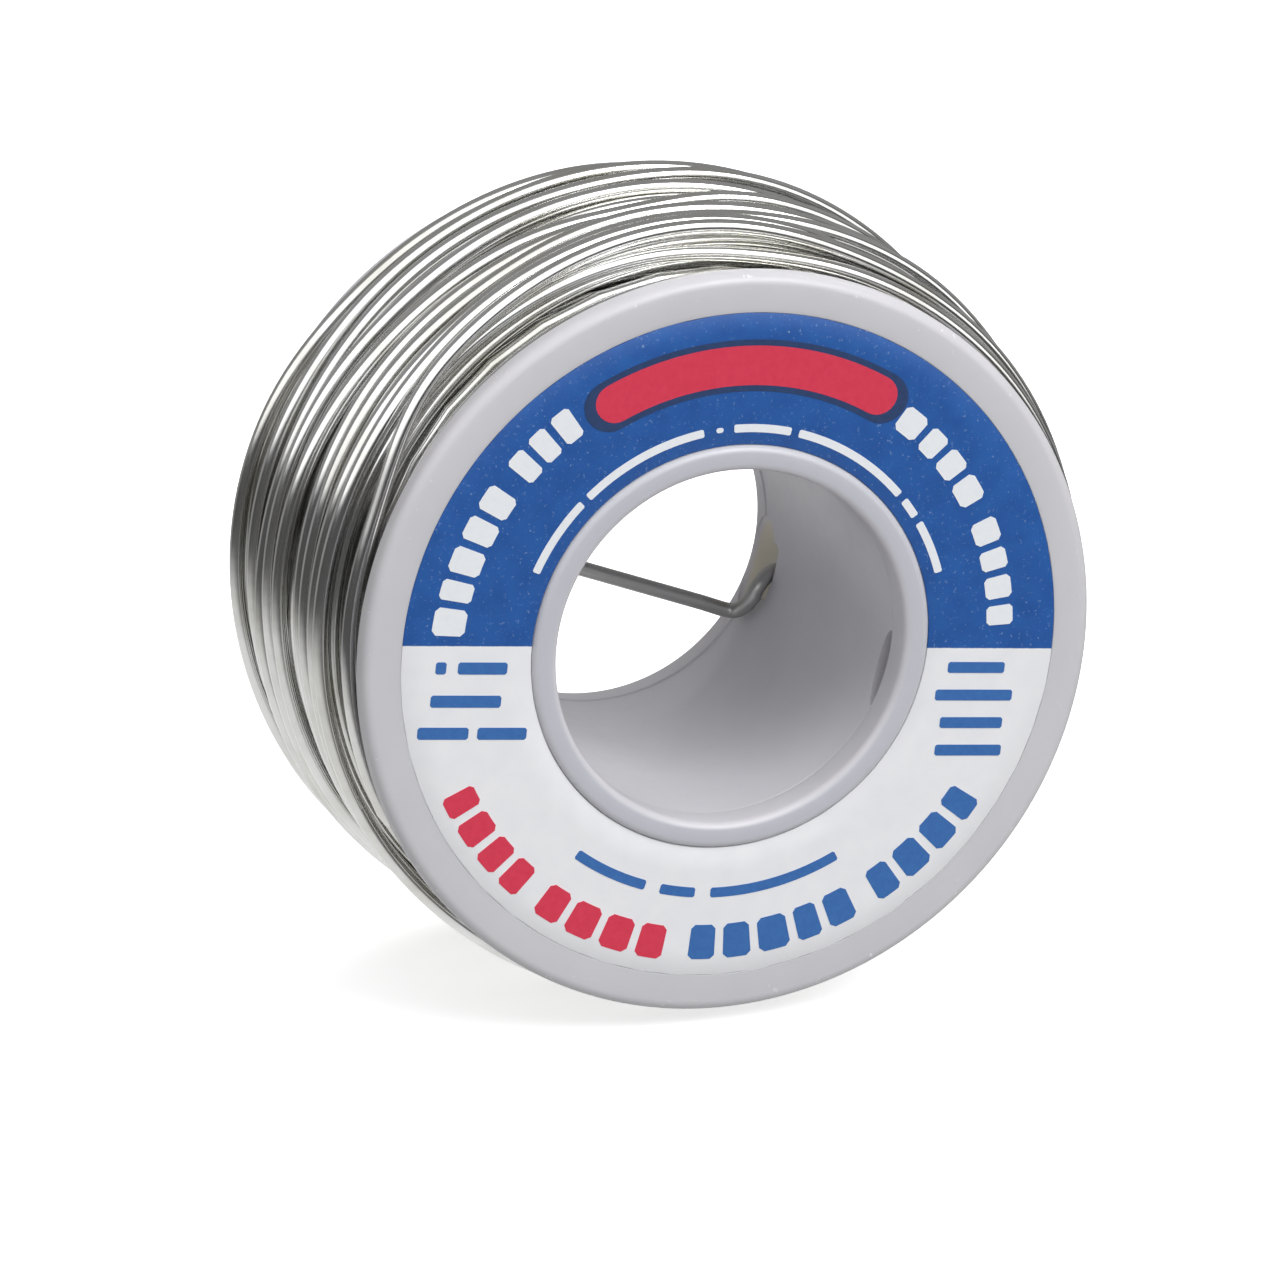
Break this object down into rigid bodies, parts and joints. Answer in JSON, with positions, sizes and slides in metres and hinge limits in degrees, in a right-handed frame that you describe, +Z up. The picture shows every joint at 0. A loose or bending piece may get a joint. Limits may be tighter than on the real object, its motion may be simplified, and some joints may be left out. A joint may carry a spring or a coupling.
{
  "type": "solder wire spool",
  "caption": "Two-part plastic spool with a wide bore and paper labels on both flanges, wound with bright solder wire whose start crosses the bore.",
  "frame": {"origin": "middle of the bore, half way between the flanges", "axes": "+Y along the spool's axis from the front flange to the rear flange, +Z up with the spool standing on its rim"},
  "size_m": [0.0784, 0.0436, 0.0784],
  "materials": {
    "spool_plastic": "moulded natural polystyrene, satin, slightly translucent",
    "label_paper": "coated paper printed in blue and red on white",
    "solder": "bright drawn tin and silver alloy",
    "rosin_flux": "amber rosin"
  },
  "bodies": {
    "root": {"front_flange_and_barrel": "spool_plastic", "rear_flange_and_sleeve": "spool_plastic", "front_label": "label_paper", "rear_label": "label_paper", "wire_full_layers": "solder", "wire_outer_layer": "solder", "wire_start_tail": "solder", "flux_core_in_start_tail": "rosin_flux", "wire_free_end": "solder", "flux_core_in_free_end": "rosin_flux"}
  },
  "joints": []
}
